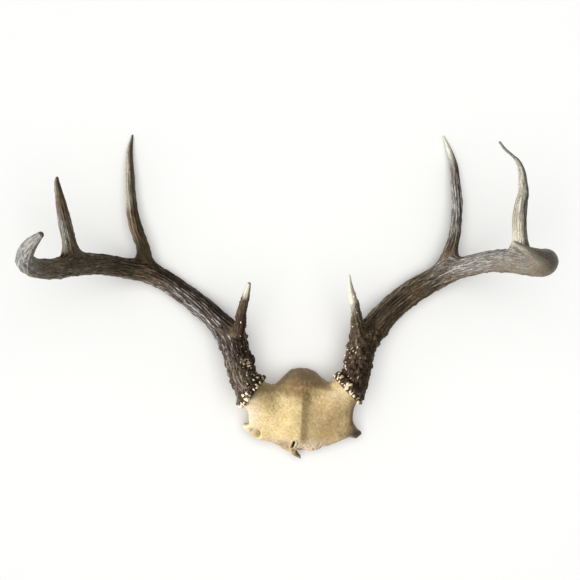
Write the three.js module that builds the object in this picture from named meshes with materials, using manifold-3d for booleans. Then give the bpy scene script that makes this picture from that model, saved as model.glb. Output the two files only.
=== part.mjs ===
// White-tailed deer rack: two four-point antlers on their sawn skull plate, lying on its back.
//
// Millimetres, +Z up. The sawn face of the plate is flat on Z = 0. The origin is the middle of the
// bridge of bone between the two hollows of that face. +X is the animal's left-hand side as the
// forehead faces the viewer, so "left" and "right" below are the viewer's. +Y runs from the nasal
// edge over the crown to the tine tips. The rack rests on the sawn face, on the backs of the two
// beams and on the tips of the two second tines.

import * as THREE from "three";
import { mergeVertices } from "three/addons/utils/BufferGeometryUtils.js";
import Module from "manifold-3d";

const wasm = await Module();
wasm.setup();

// ---------- driving dimensions ----------

const GAP = 0.3; // clearance between neighbouring pieces
const FLOOR_CLEARANCE = 0.2; // how far the resting backs of the beams stay above Z = 0

const BEAM_SIDES = 14;
const BEAM_STEPS = 46;
const TINE_SIDES = 10;
const TINE_STEPS = 15;
const BALL_SEGMENTS = 30;

const BURR_DIAMETER = 38;
const BURR_THICKNESS = 8;
const BURR_EDGE_ROUNDING = 3.5;
const BURR_SEGMENTS = 24;

const PEDICLE_DIAMETER = 32;
const PEDICLE_ROOT_DEPTH = 24; // how far the pedicle runs back inside the plate

// Each station is [x, y, z, diameter] on the centreline, from the root to the tip.
const LEFT_ANTLER = {
  burr: { centre: [-50, 37, 37], axis: [-0.78, 0.62, 0] },
  beam: [
    [-49, 36, 37, 32],
    [-54, 51, 36, 29],
    [-62, 70, 32, 26],
    [-70, 89, 25, 26],
    [-88, 108, 17, 23],
    [-114, 129, 10.5, 20],
    [-146, 149, 11, 20.5],
    [-173, 156, 27, 20],
    [-194, 159, 53, 20],
    [-210, 157, 87, 19.5],
    [-220, 153, 121, 18],
    [-226, 153, 153, 17],
    [-225, 157, 183, 15],
    [-220, 162, 208, 13],
    [-208, 169, 235, 10],
    [-194, 175, 259, 6],
  ],
  brow_tine: [
    [-66, 87, 27, 15],
    [-59, 100, 47, 11],
    [-57, 114, 62, 9.4],
    [-53, 127, 74, 7.2],
    [-51, 134, 81, 5.4],
    [-49, 140, 87, 2.8],
  ],
  second_tine: [
    [-153, 156, 15, 17],
    [-158, 180, 18, 13],
    [-164, 196, 17, 12.6],
    [-168, 212, 15, 11.4],
    [-170, 231, 13, 10.3],
    [-171, 252, 10.5, 9],
    [-172, 271, 7, 6.8],
    [-170, 290, 1.5, 2.2],
  ],
  third_tine: [
    [-210, 159, 93, 16],
    [-212, 180, 97, 13.4],
    [-214, 190, 97, 12.3],
    [-217.6, 206.4, 96, 10.8],
    [-221.2, 222.5, 94, 7.8],
    [-223.6, 233, 92, 5],
    [-223.6, 236.5, 91.5, 3],
  ],
};

const RIGHT_ANTLER = {
  burr: { centre: [47, 38, 37], axis: [0.76, 0.65, 0] },
  beam: [
    [46, 37, 37, 32],
    [51, 53, 36, 28],
    [56, 69, 32, 26],
    [63, 86, 26, 26.5],
    [84, 111, 18, 25],
    [105, 129, 12.5, 24],
    [133, 146, 14, 23],
    [151, 155, 23, 21.5],
    [163, 158, 39, 20],
    [174, 161, 65, 20],
    [184, 162, 93, 21],
    [192, 159, 127, 22.5],
    [197, 157, 157, 23],
    [197, 157.5, 178, 20],
    [192.5, 160, 194, 15.5],
    [184, 162.5, 205, 10.6],
    [174, 165.5, 212, 7.4],
    [163, 171, 216, 4],
  ],
  brow_tine: [
    [59, 88, 27, 15],
    [54, 108, 48, 11],
    [51, 119, 58, 8.8],
    [47, 129, 68, 6.8],
    [44, 140, 78, 4.4],
    [43, 148, 85, 2],
  ],
  second_tine: [
    [142, 154, 19, 17],
    [148, 177, 21, 12.8],
    [151, 189, 20, 11.4],
    [153, 203, 18, 10.8],
    [154, 216, 16, 11],
    [154, 230, 14, 10.2],
    [153, 244, 12, 9.2],
    [152, 259, 9, 7.8],
    [149, 272, 6, 5.8],
    [143, 289, 1.5, 2],
  ],
  third_tine: [
    [191, 162, 119, 16],
    [191, 182, 119, 13.2],
    [191, 194, 117, 12.8],
    [192, 203, 115, 12.2],
    [194, 213, 113, 11],
    [196, 221, 111, 9.4],
    [196, 231, 110, 8.2],
    [195, 241, 109, 6.6],
    [192, 249, 108, 4],
    [186, 255, 109, 3],
    [180, 260, 110, 2.6],
    [175, 266, 111, 2.4],
  ],
};

// The plate's outline seen from above, clockwise from the left waist.
const PLATE_OUTLINE = [
  [-50, 13],
  [-49, 25],
  [-38, 42],
  [-26, 45],
  [-20, 47],
  [-8, 56],
  [7, 56],
  [14, 52],
  [24, 46],
  [33, 44],
  [49, 27],
  [50.5, 13],
  [54, 2],
  [61, -4],
  [58.5, -10],
  [54, -13],
  [44, -12.5],
  [34, -15],
  [19.5, -20],
  [9, -24.5],
  [0, -23],
  [-11.5, -25],
  [-21, -21.5],
  [-37, -14],
  [-49, -9.5],
  [-59, -0.5],
  [-59, 4],
  [-51, 4.5],
];
const PLATE_HEIGHT = 50;

const BLOCK = 80; // edge of the blocks that trim a piece
const REACH = 1000; // wider than the whole rack

const FOREHEAD = { centre: [0, 24, -10], radii: [78, 62, 57] };
const CROWN = { centre: [0, 22, 0], radii: [33, 33.5, 45] };
const BRAIN_HOLLOW = { centre: [0, 27, 0], radii: [27, 24, 33] };
const NASAL_HOLLOW = { centre: [0, -11, 0], radii: [17, 7, 11] };
const ORBITS = [
  { centre: [-52, -7, -3], radii: [25, 22, 17] },
  { centre: [53, -10, -3], radii: [25, 22, 17] },
];
const TEMPLES = [
  { centre: [-58, 30, -6], radii: [21, 24, 24] },
  { centre: [58, 30, -6], radii: [21, 24, 24] },
];

// A thin curl of broken nasal bone hanging from the middle of the front edge.
const SPLINTER = [
  [-9, -20, 13, 5],
  [-8, -26, 12.5, 4],
  [-5, -30, 12, 3.2],
  [-2, -35, 11, 1.4],
];
const SPLINTER_STEPS = 6;
const SPLINTER_SIDES = 8;

const ANTLER_COLOUR = 0x4a382b;
const TINE_COLOUR = 0x6a5a48;
const BONE_COLOUR = 0xcdb98a;

// ---------- solids and geometries ----------

function toSolid(geometry) {
  const bare = geometry.index ? geometry.toNonIndexed() : geometry.clone();
  bare.deleteAttribute("normal");
  bare.deleteAttribute("uv");
  const merged = mergeVertices(bare, 1e-4);
  return new wasm.Manifold(
    new wasm.Mesh({
      numProp: 3,
      vertProperties: merged.attributes.position.array,
      triVerts: new Uint32Array(merged.index.array),
    }),
  );
}

function toGeometry(solid) {
  const mesh = solid.getMesh();
  const geometry = new THREE.BufferGeometry();
  geometry.setAttribute("position", new THREE.BufferAttribute(mesh.vertProperties, 3));
  geometry.setIndex(new THREE.BufferAttribute(mesh.triVerts, 1));
  geometry.computeVertexNormals();
  return geometry;
}

// A closed cylinder bent along the smooth curve through the stations, with their diameters.
// grow is added to the radius everywhere.
function taperedTube(stations, sides, steps, grow = 0) {
  const points = stations.map(([x, y, z]) => new THREE.Vector3(x, y, z));
  const curve = new THREE.CatmullRomCurve3(points, false, "centripetal");
  const frames = curve.computeFrenetFrames(steps, false);
  const rings = Array.from({ length: steps + 1 }, (_, i) => {
    const along = curve.getUtoTmapping(i / steps) * (stations.length - 1);
    const from = Math.min(Math.floor(along), stations.length - 2);
    const diameter = THREE.MathUtils.lerp(stations[from][3], stations[from + 1][3], along - from);
    return { centre: curve.getPointAt(i / steps), radius: diameter / 2 + grow };
  });
  const tube = new THREE.CylinderGeometry(1, 1, 1, sides, steps);
  const position = tube.attributes.position;
  const vertex = new THREE.Vector3();
  for (let i = 0; i < position.count; i++) {
    vertex.fromBufferAttribute(position, i);
    const ring = Math.round((vertex.y + 0.5) * steps);
    const { centre, radius } = rings[ring];
    const across = frames.binormals[ring].clone().multiplyScalar(vertex.x * radius);
    const up = frames.normals[ring].clone().multiplyScalar(vertex.z * radius);
    position.setXYZ(i, ...across.add(up).add(centre).toArray());
  }
  return toSolid(tube);
}

function ellipsoid({ centre, radii }) {
  const ball = new THREE.SphereGeometry(1, BALL_SEGMENTS, BALL_SEGMENTS / 2);
  ball.scale(...radii).translate(...centre);
  return toSolid(ball);
}

// A rounded disc, square to its axis and centred on the burr.
function burrDisc({ centre, axis }, grow = 0) {
  const radius = BURR_DIAMETER / 2 + grow;
  const half = BURR_THICKNESS / 2 + grow;
  const shoulder = radius - BURR_EDGE_ROUNDING;
  const edge = half - BURR_EDGE_ROUNDING / 2;
  const profile = [
    [0, -half],
    [shoulder, -half],
    [radius, -edge],
    [radius, edge],
    [shoulder, half],
    [0, half],
  ].map(([r, h]) => new THREE.Vector2(r, h));
  const disc = new THREE.LatheGeometry(profile, BURR_SEGMENTS);
  disc.applyQuaternion(burrTurn(axis)).translate(...centre);
  return toSolid(disc);
}

// The turn that takes +Y to a burr's axis.
function burrTurn(axis) {
  const up = new THREE.Vector3(0, 1, 0);
  return new THREE.Quaternion().setFromUnitVectors(up, new THREE.Vector3(...axis).normalize());
}

// A block that fills the space behind the burr's back face.
function behindBurr({ centre, axis }, grow = 0) {
  const block = new THREE.BoxGeometry(BLOCK, BLOCK, BLOCK);
  block.translate(0, -BLOCK / 2 - BURR_THICKNESS / 2 - grow, 0);
  block.applyQuaternion(burrTurn(axis)).translate(...centre);
  return toSolid(block);
}

// A block that fills the space below a height.
function below(height) {
  const block = new THREE.BoxGeometry(REACH, REACH, BLOCK);
  block.translate(0, 0, height - BLOCK / 2);
  return toSolid(block);
}

// ---------- the pieces ----------

function mainBeam({ burr, beam }, grow = 0) {
  const stem = taperedTube(beam, BEAM_SIDES, BEAM_STEPS, grow).subtract(behindBurr(burr, grow));
  return stem.add(burrDisc(burr, grow)).subtract(below(FLOOR_CLEARANCE - grow));
}

function tine(antler, name) {
  const whole = taperedTube(antler[name], TINE_SIDES, TINE_STEPS);
  return whole.subtract(mainBeam(antler, GAP)).subtract(below(FLOOR_CLEARANCE));
}

function pedicle({ burr }) {
  const end = new THREE.Vector3(...burr.centre);
  const back = new THREE.Vector3(...burr.axis).normalize().multiplyScalar(-PEDICLE_ROOT_DEPTH);
  const root = end.clone().add(back);
  const stations = [root, end].map((p) => [...p.toArray(), PEDICLE_DIAMETER]);
  return taperedTube(stations, BEAM_SIDES, 1);
}

function platePrism() {
  const outline = new THREE.Shape(PLATE_OUTLINE.map(([x, y]) => new THREE.Vector2(x, y)));
  return toSolid(new THREE.ExtrudeGeometry(outline, { depth: PLATE_HEIGHT, bevelEnabled: false }));
}

function skullPlate() {
  const roof = platePrism().intersect(ellipsoid(FOREHEAD));
  const hollows = [BRAIN_HOLLOW, NASAL_HOLLOW, ...ORBITS, ...TEMPLES].map(ellipsoid);
  let plate = roof.add(ellipsoid(CROWN));
  for (const hollow of hollows) plate = plate.subtract(hollow);
  for (const antler of [LEFT_ANTLER, RIGHT_ANTLER]) plate = plate.add(pedicle(antler));
  plate = plate.subtract(ellipsoid(BRAIN_HOLLOW));
  for (const antler of [LEFT_ANTLER, RIGHT_ANTLER]) plate = plate.subtract(mainBeam(antler, GAP));
  plate = plate.add(taperedTube(SPLINTER, SPLINTER_SIDES, SPLINTER_STEPS));
  return plate.subtract(below(0));
}

// ---------- the rack ----------

function piece(name, solid, colour, roughness) {
  const material = new THREE.MeshStandardMaterial({ color: colour, roughness, metalness: 0 });
  const mesh = new THREE.Mesh(toGeometry(solid), material);
  mesh.name = name;
  return mesh;
}

function antlerGroup(side, antler) {
  const group = new THREE.Group();
  group.add(piece(`${side}_main_beam`, mainBeam(antler), ANTLER_COLOUR, 0.6));
  for (const name of ["brow_tine", "second_tine", "third_tine"])
    group.add(piece(`${side}_${name}`, tine(antler, name), TINE_COLOUR, 0.5));
  return group;
}

const rack = new THREE.Group();
rack.add(piece("skull_plate", skullPlate(), BONE_COLOUR, 0.7));
rack.add(antlerGroup("left", LEFT_ANTLER));
rack.add(antlerGroup("right", RIGHT_ANTLER));

export default rack;
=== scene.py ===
"""White-tailed deer rack: two four-point antlers on their sawn skull plate, laid on a pale table.

Each antler is one mesh: tubes along its beam and tines are joined, settled onto one smooth shape
with filleted forks, and then carved with growth grooves, pearls and burr knobs. The skull plate is
one mesh on a smooth shape too, cut from an outline, a forehead and hollows, and carved with pits
and a broken edge. Vertex attributes tell the materials where the grooves, pearls, polished tips,
bleached stretches and stains are, and where they paint highlight on an antler's lit side and shade
on the plate's right side, under its nasal lip and in its slit. Shapes are worked out in
millimetres, and meshes are in metres.
"""

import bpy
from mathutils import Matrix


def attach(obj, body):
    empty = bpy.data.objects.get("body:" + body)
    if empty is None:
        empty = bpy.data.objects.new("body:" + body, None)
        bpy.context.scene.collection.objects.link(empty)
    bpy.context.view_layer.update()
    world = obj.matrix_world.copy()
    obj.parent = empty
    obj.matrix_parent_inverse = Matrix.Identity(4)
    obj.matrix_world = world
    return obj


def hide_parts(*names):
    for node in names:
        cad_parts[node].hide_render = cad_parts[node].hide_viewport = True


bl_info = {
    "name": "Deer Antler Rack",
    "version": (1, 0, 0),
    "blender": (4, 5, 0),
    "location": "3D View > Sidebar > Rack",
    "description": "Builds a deer's pearled antlers on their sawn skull plate, with a pale stage",
    "category": "Add Mesh",
}

import itertools
from types import SimpleNamespace

import bpy
import numpy as np
from bpy.props import FloatProperty, FloatVectorProperty, IntProperty, PointerProperty
from bpy.types import Operator, Panel, PropertyGroup
from mathutils import Vector

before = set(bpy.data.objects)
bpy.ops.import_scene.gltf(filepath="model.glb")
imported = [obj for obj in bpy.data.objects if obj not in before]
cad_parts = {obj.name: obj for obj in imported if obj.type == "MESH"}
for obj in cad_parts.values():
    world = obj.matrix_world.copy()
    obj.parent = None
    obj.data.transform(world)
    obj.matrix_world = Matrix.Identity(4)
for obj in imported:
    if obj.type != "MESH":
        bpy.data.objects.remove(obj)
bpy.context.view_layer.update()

MM = 0.001  # metres in a millimetre
BODY = "root"


def paint(red, green, blue):
    """A linear colour from display values of 0 to 255."""
    values = np.array([red, green, blue]) / 255
    linear = np.where(values > 0.04045, ((values + 0.055) / 1.055) ** 2.4, values / 12.92)
    return tuple(float(value) for value in linear)


# ---------- the rack's skeleton, in millimetres ----------

# A station is (x, y, z, diameter) on a branch's centreline, from its root to its tip.
# A finish row is (distance from the root, ivory, bleach, furrow), each but the first from 0 to 1.
# The lit and weathered side is the direction that the sun bleached an antler from, set on the side
# that the key light comes from: bleach and ivory are thinned on faces turned away from it, which
# paints highlight on the lit side and shade on the far side. Dusky says how much of the root's dark
# brown the lower half of the beam keeps.
LEFT_ANTLER = {
    "lit_and_weathered_side": (-0.71, -0.48, 0.51),
    "dusky": 1.0,
    "burr": {"centre": (-50, 37, 37), "axis": (-0.78, 0.62, 0)},
    "pedicle": [(-24, 18, 20, 26), (-38, 28, 30, 29), (-54, 40, 37, 31)],
    "beam": {
        "stations": [
            (-51, 36, 37, 26), (-56.5, 51, 36, 25.5), (-62.5, 69, 32, 26), (-70, 89, 25, 26),
            (-88, 108, 17, 23), (-114, 129, 10.8, 20), (-146, 149, 11, 20.5), (-173, 156, 27, 20),
            (-194, 159, 53, 20), (-210, 157, 87, 19.5), (-220, 153, 121, 18), (-226, 153, 153, 17),
            (-226, 157, 183, 15.5), (-220, 162, 208, 13), (-208, 169, 235, 10),
            (-194, 175, 259, 4.8),
        ],
        "finish": [
            (0, 0, 0.08, 0.8), (60, 0, 0.24, 1), (90, 0, 0.38, 1), (165, 0, 0.2, 1),
            (220, 0, 0.32, 0.9), (300, 0, 0.3, 0.7), (325, 0, 0.02, 0.3), (350, 0, 0.6, 0.35),
            (400, 0, 0.65, 0.6), (444, 0.05, 0.75, 0.4),
        ],
    },
    "tines": [
        {
            "node": "left_brow_tine",
            "stations": [
                (-65, 86, 29, 12), (-63, 92, 36, 12.6), (-59, 101, 47, 11), (-57, 114, 62, 9.2),
                (-53, 127, 74, 7.6), (-51, 134, 81, 6.2), (-49, 140, 87, 3.6),
            ],
            "finish": [
                (0, 0, 0, 0.8), (62, 0, 0, 0.8), (67, 0.45, 0.1, 0.3), (73, 0.7, 0.2, 0.1),
                (88, 0.76, 0.2, 0.1),
            ],
        },
        {
            "node": "left_second_tine",
            "stations": [
                (-153, 158, 15, 11), (-155, 166, 17, 14), (-158, 180, 18, 12.8),
                (-164, 196, 17, 12.4), (-168, 212, 15, 11.2), (-170, 231, 13, 10.2),
                (-171, 252, 10.5, 8.8), (-172, 271, 7, 6.6), (-170, 290, 1.8, 2),
            ],
            "finish": [
                (0, 0, 0, 0.5), (55, 0, 0.1, 0.6), (68, 0.3, 0.35, 0.6), (115, 0.4, 0.25, 0.4),
                (140, 0.4, 0.3, 0.2),
            ],
        },
        {
            "node": "left_third_tine",
            "stations": [
                (-202, 160, 70, 8), (-207, 164, 86, 13), (-210, 171, 95, 14.8),
                (-211.7, 180, 97.5, 13.4), (-213.9, 190, 97, 12.3), (-217.6, 206.4, 96, 10.8),
                (-221.2, 222.5, 94, 7.6), (-223.6, 233, 92, 4.8), (-223.6, 236.5, 91.5, 3),
            ],
            "finish": [
                (0, 0, 0, 0.2), (34, 0, 0.3, 0.3), (48, 0, 0.55, 0.5), (70, 0.05, 0.2, 0.5),
                (95, 0.2, 0.4, 0.3),
            ],
        },
    ],
}

RIGHT_ANTLER = {
    "lit_and_weathered_side": (-0.7, 0.3, 0.65),
    "dusky": 0.1,
    "burr": {"centre": (46, 40, 37), "axis": (0.72, 0.69, 0)},
    "pedicle": [(22, 18, 20, 26), (34, 29, 30, 29), (50, 44, 37, 31)],
    "beam": {
        "stations": [
            (49, 39, 37, 26), (53, 55, 36, 25.5), (56.5, 70, 32, 26), (63, 86, 26, 26.5),
            (84, 111, 18, 25), (105, 129, 12.8, 24), (133, 146, 14, 23), (151, 155, 23, 21.5),
            (163, 158, 39, 20), (174, 161, 65, 20), (184, 161, 93, 21), (192, 159, 127, 22.5),
            (197, 157, 157, 23), (197.5, 157.5, 176, 22), (192.5, 160, 194, 15),
            (184, 162.5, 205, 9.8), (174, 165.5, 212, 6.8), (163, 171, 216, 3.6),
        ],
        "finish": [
            (0, 0, 0, 0.6), (90, 0, 0.1, 0.9), (130, 0, 0.15, 0.9), (165, 0, 0.45, 0.8),
            (210, 0, 0.65, 0.45), (260, 0, 0.5, 0.25), (300, 0.04, 0.36, 0.08), (345, 0.1, 0.18, 0),
            (357, 0.36, 0.5, 0), (395, 0.6, 0.6, 0),
        ],
    },
    "tines": [
        {
            "node": "right_brow_tine",
            "stations": [
                (57, 87, 28, 12), (54.5, 95, 35, 13.5), (52.3, 108, 48, 11), (50, 119, 58, 8.8),
                (47, 129, 68, 6.8), (44, 140, 78, 4.4), (43, 148, 85, 1.8),
            ],
            "finish": [
                (0, 0, 0, 0.8), (30, 0, 0.15, 0.8), (44, 0.15, 0.5, 0.5), (54, 0.8, 0.4, 0.1),
                (90, 1, 0.6, 0),
            ],
        },
        {
            "node": "right_second_tine",
            "stations": [
                (140, 156, 18, 11), (144, 165, 20, 15), (148, 177, 21, 13), (151, 189, 20, 11.4),
                (153, 203, 18, 10.8), (154, 216, 16, 10.8), (154, 230, 14, 10), (153, 244, 12, 9),
                (152, 259, 9, 7.6), (149, 272, 6, 5.6), (143, 289, 1.8, 1.8),
            ],
            "finish": [
                (0, 0, 0.1, 0.6), (25, 0, 0.2, 0.8), (42, 0, 0.6, 0.8), (80, 0.05, 0.6, 0.8),
                (104, 0.05, 0.4, 0.6), (112, 0.4, 0.5, 0.3), (122, 0.85, 0.6, 0.1), (150, 1, 0.7, 0),
            ],
        },
        {
            "node": "right_third_tine",
            "stations": [
                (190.5, 165, 118, 11), (191, 172, 119, 14.6), (191, 182, 119, 13.2),
                (191, 194, 117, 12.6), (192, 203, 115, 12), (194, 213, 113, 10.8),
                (196, 221, 111, 9.4), (196, 231, 110, 8.2), (195, 241, 109, 6.4),
                (192, 249, 108, 4.4), (187.5, 254, 108.5, 2.6), (180, 260, 110, 2.6),
                (175, 266, 111, 2.2),
            ],
            "finish": [
                (0, 0, 0.3, 0.2), (14, 0.75, 0.1, 0.6), (36, 0.5, 0.35, 0.9), (80, 0.55, 0.5, 0.9),
                (92, 0.1, 0.9, 0.2), (120, 0, 1, 0),
            ],
        },
    ],
}

BURR_RADIUS = 17.6
BURR_HALF_THICKNESS = 4.2
BURR_ROUNDING = 3.4
BURR_FILLET = 3  # between the burr and the beam

BEAM_GRAIN_RADIUS = 11  # the growth pattern is laid out on a rod of this radius, so it tapers
TINE_GRAIN_RADIUS = 6.5
TINE_GRAIN_SHIFT = 300  # keeps the patterns of the tines apart
BEAM_RIDGES = 24  # growth ridges around the beam, and around a tine
TINE_RIDGES = 11
ROUTE_STEP = 1.0  # between samples of a centreline
CURVE_SAMPLES = 1500  # of the curve that the even samples are taken from
POINT_BLOCK = 8192  # points that are compared with a centreline at once
TUBE_SIDES = 16
TUBE_EVERY = 3  # samples between the rings of a rough tube
BEAM_SHELL_START = 10  # the sample where the rough tube of a beam starts, clear of the burr's back
ANTLER_SETTLING = 4  # rounds of smoothing a mesh onto its smooth shape
PLATE_SETTLING = 2
FLOOR_CLEARANCE = 0.1

# The plate's outline seen from above, clockwise from the left waist.
PLATE_OUTLINE = [
    (-52, 9), (-51.5, 19), (-48, 28), (-38, 38.5), (-31.5, 39.3), (-26.5, 40), (-21.5, 44.2),
    (-17.5, 48.2), (-13.5, 52), (-9.8, 55), (-2, 56), (6.5, 55.5), (13.6, 52.8), (20.3, 46.4),
    (26.6, 42), (32, 40.8), (40, 36), (49, 27), (50.4, 17), (50.2, 7), (51.7, 2.4), (55.1, -3.2),
    (59.5, -6.5), (59.8, -9), (56.6, -11.7), (54.5, -13.5), (50.9, -12), (46.7, -11.2), (34, -16.5),
    (27, -19.2), (19.8, -20.8), (15.6, -23.7), (11.3, -25.2), (5.7, -24.7), (2.9, -23.2),
    (-4.2, -23.5), (-11.2, -25.3), (-14.1, -25.2), (-18.3, -23), (-24, -18.8), (-29.6, -15.9),
    (-36.6, -14), (-42.3, -13.5), (-45.8, -12.7), (-50.8, -7.5), (-54.5, -5.6), (-58, -2.5),
    (-58.6, 0.6), (-57, 2.2), (-53.5, 2.4), (-51.6, 3.4),
]
PLATE_LOW = (-64, -38, -1.8)  # a box around the plate
PLATE_HIGH = (66, 62, 57)
# The forehead's height along its midline, as (y, z).
FOREHEAD_PROFILE = [
    (-36, 10), (-27, 17), (-18, 23), (-8, 28.5), (5, 34.5), (18, 40), (28, 43), (36, 43.5), (43, 42),
    (49, 36), (54, 25), (58, 10), (62, -10),
]
FOREHEAD_SMOOTHING = (-4, -2, 0, 2, 4)  # shifts along the midline, to round the profile's corners
FOREHEAD_ROUNDNESS = 0.0026  # how fast the forehead falls away to its sides, by the square of x
CROWN_ROUNDNESS = 0.045
FLANK_DROP = 4  # how much more the far sides fall, between these two distances from the middle
FLANKS = (46, 64)
CROWN_START = (36, 56)  # the crown's roundness sets in between these two heights up the plate
CROWN_FOLD = {"y": 37, "width": 4, "depth": 1.0, "ends": (12, 26)}
RIDGE_X = -2.3  # the ridge along the forehead is left of the middle, and leans a little
RIDGE_LEAN = 0.045
RIDGE_FOOT = (-22, -12)  # where the ridge rises from the nasal edge, and where it ends at the crown
RIDGE_HEAD = (30, 40)
RIDGE_SLOPES = (-26, 11)  # how far its long left slope and its short right slope reach
SIDE_HOLLOW = {"x": 22, "width": 12, "depth": 1.2}
BRAIN_HOLLOW = {"centre": (0, 27, 0), "radii": (27, 24, 33)}
# The nasal hollow, the two eye sockets, and the hollows under the pedicles.
FACE_HOLLOWS = [
    {"centre": (0, -11, 0), "radii": (17, 7, 11)},
    {"centre": (-52, -7, -3), "radii": (25, 22, 15)},
    {"centre": (53, -10, -3), "radii": (25, 22, 15)},
    {"centre": (-60, 30, -8), "radii": (21, 24, 24)},
    {"centre": (60, 30, -8), "radii": (21, 24, 24)},
]
SLIT = {"start": (-7.2, -14.4), "end": (-8.8, -19.4), "radius": 1.1, "floor": 13}
SPLINTER = [
    (-10, -18, 15, 5.5), (-9, -23.5, 14.5, 5.6), (-6, -27.8, 13, 5.6), (-2.4, -31.5, 11.5, 3),
    (-1.4, -33.3, 11, 1.2),
]
ORBIT_KNOB = (-45.4, -6.6)  # a small boss in a shallow ring, at the left eye socket
SAWN_DEPTH = 0.35  # what is lower than this belongs to the sawn face
SPONGE_HEIGHT = 8
# How far the edges between the plate's shapes are rounded.
RIM_ROUNDING = 4
HOLLOW_ROUNDING = 2
PEDICLE_FILLET = 9
BRAIN_ROUNDING = 1.5
SLIT_ROUNDING = 0.8
SPLINTER_FILLET = 1.5
# How high or deep the roughness of the bone is.
SWELLS = 0.9
LUMPS = 0.5
BROKEN_EDGE = (-22, -14)  # the nasal edge is rough between these two, measured up the plate
BROKEN_EDGE_LUMPS = 2.2
PIT_DEPTH = 0.4
KNOB_HEIGHT = 2.0
KNOB_RING_DEPTH = 1.0
SLIT_LIP = 0.9


# ---------- repeatable noise ----------

def cell_random(cells, seed):
    """A repeatable random number from 0 to 1 for each whole-number cell."""
    x, y, z = (cells[..., axis].astype(np.int64) for axis in range(3))
    mixed = (x * 73856093) ^ (y * 19349663) ^ (z * 83492791) ^ (seed * 2654435761)
    mixed = (mixed ^ (mixed >> 13)) * 1274126177
    mixed = mixed ^ (mixed >> 16)
    return (mixed & 0xFFFFF) / 0xFFFFF


def noise(points, seed):
    """Smooth noise from 0 to 1, with one feature to about every unit."""
    cell = np.floor(points)
    share = points - cell
    share = share * share * (3 - 2 * share)
    total = 0
    for corner in itertools.product((0, 1), repeat=3):
        weight = np.prod(np.where(np.array(corner), share, 1 - share), axis=-1)
        total = total + weight * cell_random(cell + corner, seed)
    return total


def fractal(points, seed, octaves=3):
    """Noise with finer noise on it, from 0 to 1."""
    weights = [0.5 ** octave for octave in range(octaves)]
    layers = [w * noise(points * 2 ** k + 7.3 * k, seed + k) for k, w in enumerate(weights)]
    return sum(layers) / sum(weights)


def pebbles(points, seed, share=0.75, smallest=0.3, largest=0.62):
    """Round bumps from 0 to 1, in a share of the unit cells."""
    cell = np.floor(points)
    height = np.zeros(len(points))
    for offset in itertools.product((-1, 0, 1), repeat=3):
        home = cell + offset
        drift = np.stack([cell_random(home, seed + axis) for axis in range(3)], axis=-1)
        centre = home + 0.15 + 0.7 * drift
        which = cell_random(home, seed + 3)
        size = smallest + (largest - smallest) * cell_random(home, seed + 4)
        rise = 1 - ((points - centre) ** 2).sum(axis=-1) / size ** 2
        height = np.maximum(height, np.where(which < share, rise, 0))
    return np.sqrt(height)


def step_between(value, low, high):
    """Rises smoothly from 0 at low to 1 at high."""
    share = np.clip((value - low) / (high - low), 0, 1)
    return share * share * (3 - 2 * share)


def lines(pattern, level, width):
    """Narrow lines where a pattern crosses a level."""
    return np.exp(-(((pattern - level) / width) ** 2))


# ---------- shapes as fields: below zero inside, and in millimetres outside ----------

def smooth_min(a, b, reach):
    """The union of two fields, filleted where they meet."""
    share = np.clip(0.5 + 0.5 * (b - a) / reach, 0, 1)
    return b + (a - b) * share - reach * share * (1 - share)


def smooth_max(a, b, reach):
    """The overlap of two fields, with its edge rounded."""
    return -smooth_min(-a, -b, reach)


def ball_field(points, ball):
    """An ellipsoid's field."""
    offset = points - np.array(ball["centre"], float)
    radii = np.array(ball["radii"], float)
    near = np.linalg.norm(offset / radii, axis=1)
    slope = np.linalg.norm(offset / radii ** 2, axis=1)
    return near * (near - 1) / np.maximum(slope, 1e-6)


def reach_of_side(flat, start, end):
    """The distance from each flat point to a straight side."""
    side = end - start
    offset = flat - start
    share = np.clip(offset @ side / (side @ side), 0, 1)
    return np.linalg.norm(offset - share[:, None] * side, axis=1)


def outline_field(points, outline):
    """The distance to a closed outline seen from above, below zero inside it."""
    corners = np.array(outline, float)
    flat = points[:, :2]
    nearest = np.full(len(points), np.inf)
    inside = np.zeros(len(points), bool)
    for start, end in zip(corners, np.roll(corners, -1, axis=0)):
        nearest = np.minimum(nearest, reach_of_side(flat, start, end))
        spans = (start[1] > flat[:, 1]) != (end[1] > flat[:, 1])
        rise = np.where(spans, end[1] - start[1], 1)
        crossing = start[0] + (flat[:, 1] - start[1]) * (end[0] - start[0]) / rise
        inside ^= spans & (flat[:, 0] < crossing)
    return np.where(inside, -nearest, nearest)


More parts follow.
